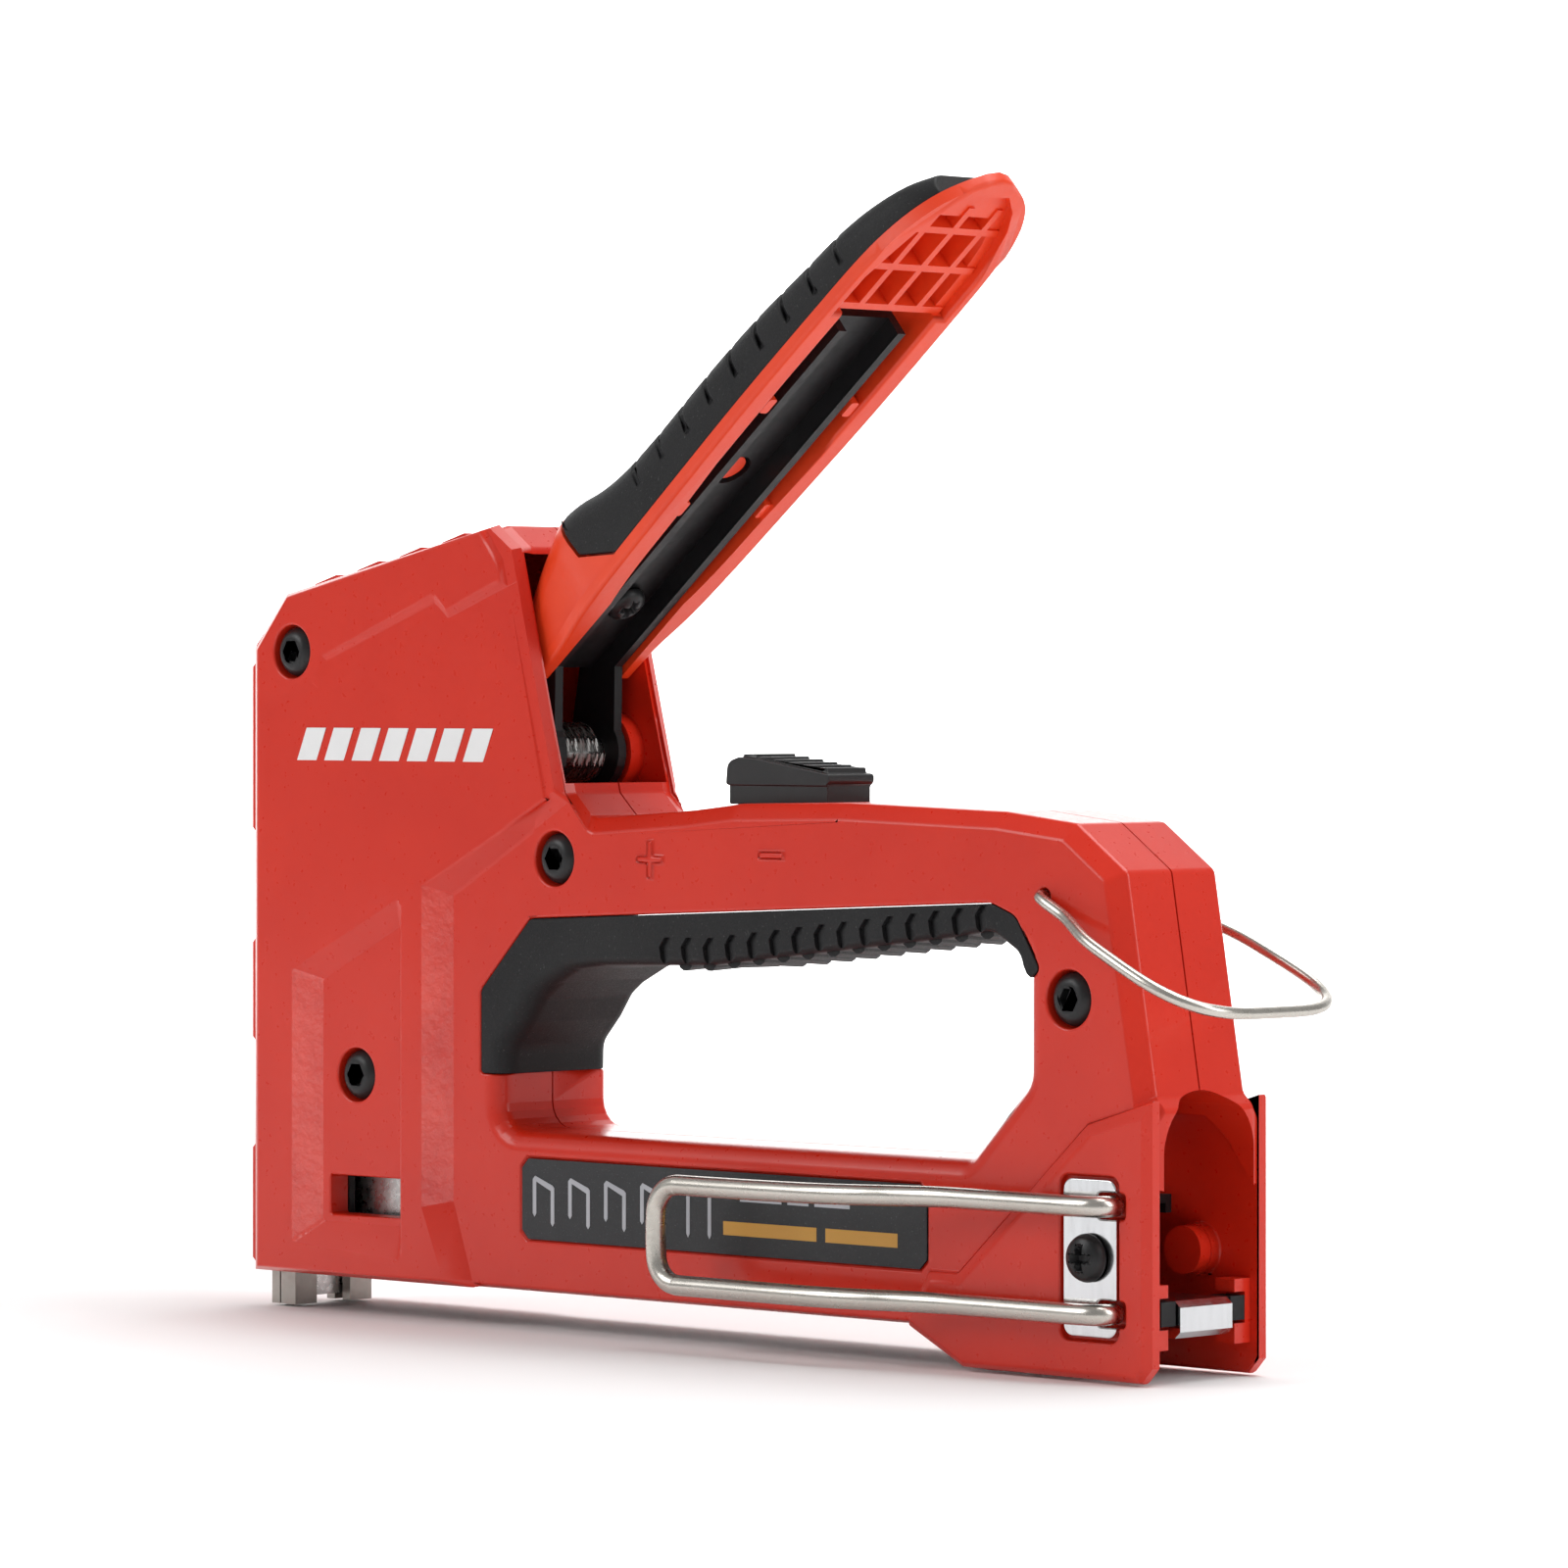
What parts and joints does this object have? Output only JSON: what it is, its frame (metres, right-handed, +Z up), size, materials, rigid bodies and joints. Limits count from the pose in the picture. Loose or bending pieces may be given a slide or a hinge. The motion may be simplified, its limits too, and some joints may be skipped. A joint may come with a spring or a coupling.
{
  "type": "staple gun",
  "caption": "Hand staple gun: two-part metal housing with hand hole, squeeze handle, striker, rear-loading magazine, power slider, belt clip and wire lock bail.",
  "frame": {"origin": "centre of the whole object's footprint box, on the surface it stands on (nose feet and heel)", "axes": "+X from the nose to the heel and the handle's free end, +Z up, -Y the side with the belt clip"},
  "size_m": [0.2018, 0.0402, 0.1691],
  "materials": {
    "red_paint": "gloss enamel with a light orange peel",
    "red_plastic": "semi-gloss moulded plastic",
    "black_rubber": "fine matt texture",
    "bumper_rubber": "plain",
    "black_plastic": "satin moulded",
    "black_steel": "glossy black coating",
    "black_screws": "black oxide",
    "nose_steel": "ground",
    "bright_steel": "turned",
    "spring_steel": "drawn wire",
    "nickel_wire": "nickel plated wire",
    "chrome_plate": "bright plated",
    "black_sticker": "printed film"
  },
  "bodies": {
    "housing": {"left_shell": "red_paint", "right_shell": "red_paint", "grip_insert": "black_rubber", "housing_screw_top": "black_screws", "housing_screw_nose": "black_screws", "housing_screw_middle": "black_screws", "housing_screw_rear": "black_screws", "housing_nut_top": "black_screws", "housing_nut_nose": "black_screws", "housing_nut_middle": "black_screws", "housing_nut_rear": "black_screws", "left_label": "black_sticker", "right_label": "black_sticker", "nose_front_plate": "nose_steel", "nose_guide_block": "nose_steel", "magazine_channel": "black_steel", "lever_pivot_pin": "bright_steel", "lever_return_spring": "spring_steel", "main_spring": "spring_steel", "spring_seat": "bright_steel", "bumper": "bumper_rubber", "detent_spring": "spring_steel", "clip_plate": "chrome_plate", "belt_clip": "nickel_wire", "clip_screw": "black_screws"},
    "handle": {"handle_cover": "red_plastic", "handle_grip": "black_rubber", "lever_channel": "black_steel", "lever_roller": "bright_steel", "handle_screw": "black_screws"},
    "striker": {"striker_plunger": "bright_steel", "striker_blade": "bright_steel"},
    "power_slider": {"power_knob": "black_plastic", "power_link": "bright_steel"},
    "bail": {"lock_bail": "nickel_wire"},
    "magazine": {"core_rail": "black_steel", "magazine_latch": "chrome_plate", "latch_plate": "black_steel", "guide_rod": "bright_steel", "pusher_spring": "spring_steel"},
    "pusher": {"pusher": "nose_steel"}
  },
  "joints": [
    {"name": "handle_squeeze", "type": "hinge", "parent": "housing", "child": "handle", "pos_m": [-0.03986, 0.00231, 0.086], "axis": [0, 1, 0], "range_deg": [0, 38], "stiffness_Nm_per_rad": 1, "springref_deg": -17.19, "deforming": ["lever_return_spring"]},
    {"name": "striker_lift", "type": "slide", "parent": "housing", "child": "striker", "axis": [0, 0, 1], "range_m": [0, 0.016], "deforming": ["main_spring"]},
    {"name": "power_slide", "type": "slide", "parent": "housing", "child": "power_slider", "axis": [1, 0, 0], "range_m": [-0.022, 0]},
    {"name": "bail_swing", "type": "hinge", "parent": "housing", "child": "bail", "pos_m": [0.06754, 0.00231, 0.0667], "axis": [0, -1, 0], "range_deg": [-24, 95.5]},
    {"name": "magazine_slide", "type": "slide", "parent": "housing", "child": "magazine", "axis": [1, 0, 0], "range_m": [0, 0.095]},
    {"name": "pusher_slide", "type": "slide", "parent": "magazine", "child": "pusher", "axis": [1, 0, 0], "range_m": [0, 0.1], "stiffness_N_per_m": 60, "springref_m": -0.05, "deforming": ["pusher_spring"]}
  ],
  "couplings": [
    {"joint": "striker_lift", "follows": "handle_squeeze", "m_per_rad": 0.0241}
  ]
}
